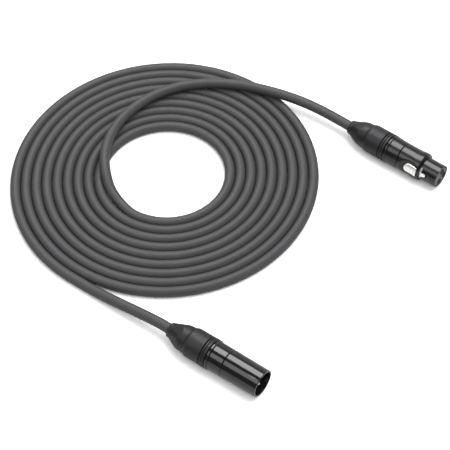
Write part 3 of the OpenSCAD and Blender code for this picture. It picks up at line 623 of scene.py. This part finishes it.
# The whole casting is turned a little against its insert
casting_turn = np.radians(8)
satin_black = finish("satin_black", (0.008, 0.008, 0.009), 0.25, (4800, 0.000004, 0.12), mottle=0.06,
                     specular=0.45)
body_line = rounded(
    [[thread_r, z_shell], [collar_r - chamfer[1], z_shell + step], [collar_r, z_shell + chamfer[0]],
     [collar_r, collar_front], [waist_rear_r - 0.3, collar_foot], [waist_rear_r, z_body],
     [waist_r, female_groove_z - groove_half], [waist_r - groove_depth, female_groove_z],
     [waist_r, female_groove_z + groove_half], [waist_r, z_flare]],
    [0, 0.05, 0.2, 0.15, 0.05, 0.2, 0.08, 0.12, 0.08, 0], closed=False)
flare = np.linspace(0, np.pi, 21)[1:]
flare_line = np.stack([waist_r + (female_r - waist_r) * (1 - np.cos(flare)) / 2,
                       z_flare + (z_shoulder - z_flare) * flare / np.pi], axis=1)
bend = np.linspace(0, np.pi / 2, 13)[1:]
shoulder_line = np.stack([female_r - shoulder_drop * (1 - np.cos(bend)),
                          z_shoulder + (z_step - z_shoulder) * np.sin(bend)], axis=1)
nose_line = rounded([[nose_r, z_step + 2 * step], [nose_r, female_front], [nose_edge_r, female_front]],
                    [0, 0.45, 0], closed=False)
female_line = np.concatenate([body_line, flare_line, shoulder_line, nose_line])
first_row = np.flatnonzero(female_line[:, 1] < z_shell + 1e-6)[-1]
last_row = np.flatnonzero(female_line[:, 1] > female_front - 1e-6)[0]
female_line = female_line[first_row:last_row + 1]
exact_rows = np.array([window_rear, window_front, bar_slot_front, slot_front,
                       z_seat - step, z_seat + step])
own_rows = np.concatenate([female_line[:, 1], exact_rows])
more_rows = np.concatenate([np.arange(34, 44, 1.0), np.arange(44, 60, 0.3), np.arange(61.7, 73, 0.6)])
more_rows = more_rows[np.abs(more_rows[:, None] - own_rows).min(1) > 0.12]
row_z = np.unique(np.round(np.concatenate([own_rows, more_rows]), 4))
# The columns beside the latch keep their place y, so that its window and slots have straight sides
bend_reach, bore_narrowing = 7.2, 0.62
side_y = np.concatenate([window_half * np.sin(np.radians([8, 16])), [slot_half],
                         window_half * np.sin(np.radians([34, 43, 53, 63, 73, 82, 90])),
                         [4.05, bar_slot_half, 4.6, 4.9, 5.2, 5.5, 5.8, 6.2, 6.7, bend_reach]])
female_near_y = np.concatenate([-side_y[::-1], [0], side_y])
off_middle = np.abs(female_near_y)
past_window = np.maximum(off_middle - window_half, 0)
bore_near_y = np.sign(female_near_y) * (off_middle - (1 - bore_narrowing) * past_window)
# The rows bend round the rear end of the window, which is a half circle
round_end = window_half - np.sqrt(np.maximum(window_half ** 2 - off_middle ** 2, 0))
fading = np.clip((off_middle - window_half) / (bend_reach - window_half), 0, 1)
beside_end = window_half * np.cos(np.pi / 2 * fading) ** 2
bent = np.where(off_middle <= window_half, round_end, beside_end)
bend_share = np.interp(row_z, [44.2, window_rear, 56.5], [0, 1, 0])
female_z = np.repeat(row_z[:, None], len(female_near_y) + far_columns, axis=1)
female_z[:, :len(female_near_y)] += bend_share[:, None] * bent
skin_r = np.interp(female_z, female_line[:, 1], female_line[:, 0])
bore_r = np.interp(female_z, [z_seat - step, z_seat + step, female_front - nose_bevel, female_front],
                   [thread_r, nose_bore, nose_bore, nose_edge_r])
skin_x, skin_y = ring_grid(skin_r, female_near_y, far_columns)
bore_x, bore_y = ring_grid(bore_r, bore_near_y, far_columns)
scoop_x = scoop_floor + scoop_r - np.sqrt(np.maximum(scoop_r ** 2 - (female_z - scoop_z) ** 2, 0))
in_scoop = np.abs(female_z - scoop_z) < scoop_half
scooped_x = np.minimum(skin_x, smooth_least(skin_x, scoop_x, scoop_blend))
skin_x = np.where(in_scoop, scooped_x, skin_x)


def hollowed(x, y, z, half, rear, front, depth):
    """Deepens the bore to x = depth between two heights z, as far as half to both sides of the latch."""
    inside = (np.abs(y) <= half + step) & (z >= rear) & (z <= front) & (x > 0)
    return np.where(inside, np.maximum(x, depth), x)


for pocket_front, pocket_depth in (lever_pocket, hinge_pocket):
    bore_x = hollowed(bore_x, bore_y, female_z, pocket_half, pocket_rear, pocket_front, pocket_depth)
bore_x = hollowed(bore_x, bore_y, female_z, slot_half, window_front - step, z_step + step, nose_r)


def pierced_wall(skin, bore, opened):
    """A wall between two closed grids of rings, without the opened cells.

    A side of a cell that no other cell runs the other way along is an edge of the skin, so a face from
    there to the bore closes the wall. Points that no face uses are left out.
    """
    rows, columns = skin.shape[:2]
    number = np.arange(rows * columns).reshape(rows, columns)
    beside = np.roll(number, -1, axis=1)
    cells = np.stack([number[:-1], beside[:-1], beside[1:], number[1:]], axis=-1)[~opened]
    start, stop = cells.ravel(), np.roll(cells, -1, axis=1).ravel()
    total = rows * columns
    alone = ~np.isin(start * total + stop, stop * total + start)
    a, b = start[alone], stop[alone]
    faces = np.concatenate([cells, cells[:, ::-1] + total, np.stack([b, a, a + total, b + total], axis=1)])
    used, renumbered = np.unique(faces, return_inverse=True)
    points = np.concatenate([skin.reshape(-1, 3), bore.reshape(-1, 3)])[used]
    return points, renumbered.reshape(faces.shape)


cell_rear = row_z[:-1, None]
columns_in_all = female_z.shape[1]
cell_y = np.full(columns_in_all, np.inf)
cell_y[:len(female_near_y) - 1] = (female_near_y[:-1] + female_near_y[1:]) / 2
cell_off = np.abs(cell_y)[None]
hair = 1e-3
in_window = (cell_off < window_half) & (cell_rear > window_rear - hair) & (cell_rear < window_front - hair)
in_slot = (cell_off < slot_half) & (cell_rear < slot_front - hair)
in_bar_slot = (cell_off < bar_slot_half) & (cell_rear < bar_slot_front - hair)
opened = in_window | (cell_rear > z_step + step) & (in_slot | in_bar_slot)
wall_points, wall_faces = pierced_wall(np.stack([skin_x, skin_y, female_z], -1),
                                       np.stack([bore_x, bore_y, female_z], -1), opened)
female_shell = fit(new_piece("female_metal_shell", laid(wall_points @ turn_z(casting_turn).T, "female"),
                             wall_faces, satin_black),
                   "connector_shell", "lead", "female_shell")


# ---------------------------------------------------------------- latch
# A nickel-plated lever on a pin in the shell, pushed up by a spring: a thumb tab with a finger dish,
# an arm under the bridge of the shell, a cross bar, and the hook that holds the two connectors together.
tab_half, tab_rear, tab_front, tab_r, tab_bottom, tab_edge = 3.45, 50.0, 59.4, 9.85, 6.5, 0.35
tab_middle_z, tab_reach, tab_inner_rows = 55.0, 4.2, 34
dish_depth, ridge_z, groove_z, groove_width, rib_groove_depth = 0.4, (57.0, 57.4), 57.6, 0.3, 0.45
latch_metal = finish("latch_metal", (0.90, 0.89, 0.87), 0.38, (4200, 0.000006, 0.2), mottle=0.05,
                     metallic=1)


def tab_top(y, z):
    """Height of the tab: round like the body, with a dish that falls from the rear and ends at a ridge.

    A bell-shaped groove, depth times exp(-((z - place) / width)^2), runs across between ridge and front.
    """
    falling = np.clip((z - tab_rear - 0.6) / 3, 0, 1)
    rising = np.clip((ridge_z[1] - z) / (ridge_z[1] - ridge_z[0]), 0, 1)
    dish = falling * rising
    groove = rib_groove_depth * np.exp(-((z - groove_z) / groove_width) ** 2)
    return np.sqrt(tab_r ** 2 - y ** 2) - dish_depth * dish ** 2 * (3 - 2 * dish) - groove


tab_plan = filled_in(rounded(
    [[-tab_half, tab_rear], [tab_half, tab_rear], [tab_half, tab_front], [-tab_half, tab_front]],
    [3.3, 3.3, 0.4, 0.4], steps=15), 0.4)
from_middle = tab_plan - [0, tab_middle_z]
edge_angle = np.linspace(0, np.pi / 2, 5)[1:]
shrink = 1 - np.concatenate([[0, 0], tab_edge * (1 - np.cos(edge_angle)) / tab_reach,
                             np.linspace(0.11, 0.98, tab_inner_rows)])
drop = np.concatenate([[0, 0], tab_edge * (1 - np.sin(edge_angle)), np.zeros(tab_inner_rows)])
tab_yz = shrink[:, None, None] * from_middle + [0, tab_middle_z]
tab_x = tab_top(tab_yz[..., 0], tab_yz[..., 1]) - drop[:, None]
tab_x[0] = tab_bottom
tab_x[1] = tab_top(tab_plan[:, 0], tab_plan[:, 1]) - tab_edge
tab_points = np.stack([tab_x, tab_yz[..., 0], tab_yz[..., 1]], -1)


def capped(points):
    """Faces of rows of points that close round, with a flat face over the first and the last row.

    Known fault: the end faces run against the sides, and the lever's sides come out facing inwards.
    """
    rows, columns = points.shape[:2]
    sides = grid_faces(rows, columns, columns_close=True).tolist()
    first, last = list(range(columns)), list(range((rows - 1) * columns, rows * columns))
    return [first] + [face[::-1] for face in sides] + [last[::-1]]


def bar_along_z(sections, corners=7.0, around=40):
    """A bar whose sections, each (z, lowest x, highest x, half width), are rounded boxes.

    A rounded box is x = m + a |cos t|^(2/c) sign(cos t), y = b |sin t|^(2/c) sign(sin t), where a
    greater c makes its corners sharper.
    """
    z, low, high, half = np.array(sections, dtype=float).T[:, :, None]
    t = np.arange(around) * 2 * np.pi / around
    cos, sin = [np.abs(v) ** (2 / corners) * np.sign(v) for v in (np.cos(t), np.sin(t))]
    x = (low + high) / 2 + (high - low) / 2 * cos
    return np.stack([x, half * sin, np.broadcast_to(z, x.shape)], -1)


arm_low, arm_high, arm_half, bar_low, nose_fit = 5.9, 7.0, 1.2, 6.6, 7.8
bar_half, bar_rear, bar_front, bar_edge = 4.2, 61.35, 62.7, 0.15
hook_half, hook_top, hook_crest, hook_front, hook_tip_top = 1.25, 8.8, 63.9, 65.9, 7.45
hook_points = bar_along_z([
    (tab_rear + 1, arm_low, arm_high, arm_half),
    (bar_rear, arm_low, arm_high, arm_half),
    (bar_rear + step, bar_low, nose_fit - bar_edge, bar_half - bar_edge),
    (bar_rear + bar_edge, bar_low, nose_fit, bar_half),
    (bar_front - bar_edge, bar_low, nose_fit, bar_half),
    (bar_front, bar_low, nose_fit - bar_edge, bar_half - bar_edge),
    (bar_front + step, arm_low, hook_top - 0.2, hook_half - 0.1),
    (bar_front + 0.2, arm_low, hook_top, hook_half),
    (hook_crest, arm_low, hook_top, hook_half),
    (hook_crest + 0.3, arm_low, hook_top - 0.12, hook_half),
    (hook_front - 0.3, arm_low, nose_fit, hook_half),
    (hook_front, arm_low, hook_tip_top, hook_half - 0.15)])
on_bar = (hook_points[..., 2] > bar_rear) & (hook_points[..., 2] <= bar_front)
round_nose = np.sqrt(nose_fit ** 2 - hook_points[..., 1] ** 2)
hook_points[..., 0] = np.where(on_bar, np.minimum(hook_points[..., 0], round_nose), hook_points[..., 0])
pivot_x, pivot_z, knuckle_r, knuckle_ys, leg_half = 6.5, 47.2, 1.25, (1.5, 3.0), 0.75
knuckle_turn = np.arange(32) * 2 * np.pi / 32
latch_parts = [tab_points @ turn_z(casting_turn).T, hook_points @ turn_z(casting_turn).T]
for hand in (-1, 1):
    knuckle_y, turn = np.meshgrid(np.array(knuckle_ys) * hand, knuckle_turn, indexing="ij")
    latch_parts.append(np.stack([pivot_x + knuckle_r * np.cos(turn), knuckle_y,
                                 pivot_z + knuckle_r * np.sin(turn)], -1))
    leg = bar_along_z([(pivot_z, arm_low, arm_high, leg_half),
                       (tab_rear + 1.5, arm_low, arm_high, leg_half)])
    leg[..., 1] += hand * sum(knuckle_ys) / 2
    latch_parts.append(leg)
latch_points = np.concatenate([part.reshape(-1, 3) for part in latch_parts])
first_point = np.cumsum([0] + [part.shape[0] * part.shape[1] for part in latch_parts])
latch_faces = [[corner + start for corner in face]
               for part, start in zip(latch_parts, first_point)
               for face in outward(part.reshape(-1, 3) - part.reshape(-1, 3).mean(0), capped(part))]
latch = fit(new_piece("latch_lever", laid(latch_points, "female"), latch_faces, latch_metal),
            "latch_metal", "latch", "female_latch")


# ---------------------------------------------------------------- inside the connectors
# Black moulded inserts carry the gold-plated contacts; the screen and cores of the cable end in them.
# These pieces sit deep in the shells, so their built shapes stay, with their own finishes.
insert_plastic = finish("insert_plastic", (0.013, 0.013, 0.013), 0.38, (3600, 0.00003, 0.15), mottle=0.3,
                        specular=0.6)
gold = finish("gold_plate", (0.94, 0.76, 0.50), 0.25, (6000, 0.000002, 0.2), mottle=0.05, metallic=1)
# The socket contacts get gold darkened to a deep brown: painted shade for the holes they sit in
gold_darkened_as_shade = finish("gold_darkened_as_shade", (0.20, 0.14, 0.06), 0.5, (6000, 0.000002, 0.2), mottle=0.05, metallic=1)
spring_metal = finish("spring_steel", (0.56, 0.56, 0.57), 0.28, (5000, 0.000004, 0.2), mottle=0.08,
                      metallic=1)
# A near-black matt finish: painted shade round the socket holes
painted_socket_shade = finish("painted_socket_shade", (0.003, 0.003, 0.003), 0.8, (3600, 0.00002, 0.15),
                     specular=0.05)
# A thin near-black ring of painted shade lies round the entry of each of the three socket contacts
contact_ring, entry_r, entry_ring_r = 3.81, 1.5, 2.0
entry_back, entry_proud = female_front - 0.02, female_front + 0.06
entry_outline = rounded([[entry_r, entry_back], [entry_ring_r, entry_back],
                         [entry_ring_r, entry_proud], [entry_r, entry_proud]], 0.02)
for number, contact_angle in enumerate(np.radians([270, 90, 180]), start=1):
    entry = turned(entry_outline, 48)
    entry += [contact_ring * np.cos(contact_angle), contact_ring * np.sin(contact_angle), 0]
    faces = grid_faces(*entry.shape[:2], rows_close=True, columns_close=True)
    fit(new_piece(f"socket_shade_ring_{number}", laid(entry, "female"), faces, painted_socket_shade),
        "contact_insert", "lead")

core_plastic = finish("core_insulation", (0.42, 0.46, 0.56), 0.4, (3000, 0.00001, 0.1))
chuck_plastic = finish("chuck_plastic", (0.62, 0.62, 0.58), 0.4, (3000, 0.00001, 0.1))
# The socket contacts take the gold that is darkened as painted shade
node_finishes = {
    "insert": insert_plastic, "pin": gold, "socket": gold_darkened_as_shade, "strip": spring_metal,
    "spring": spring_metal, "latch_pin": spring_metal, "wires": core_plastic, "cable_end": jacket,
    "chuck": chuck_plastic}
for name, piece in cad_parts.items():
    for words, material in node_finishes.items():
        if words in name:
            piece.data.materials.clear()
            piece.data.materials.append(material)
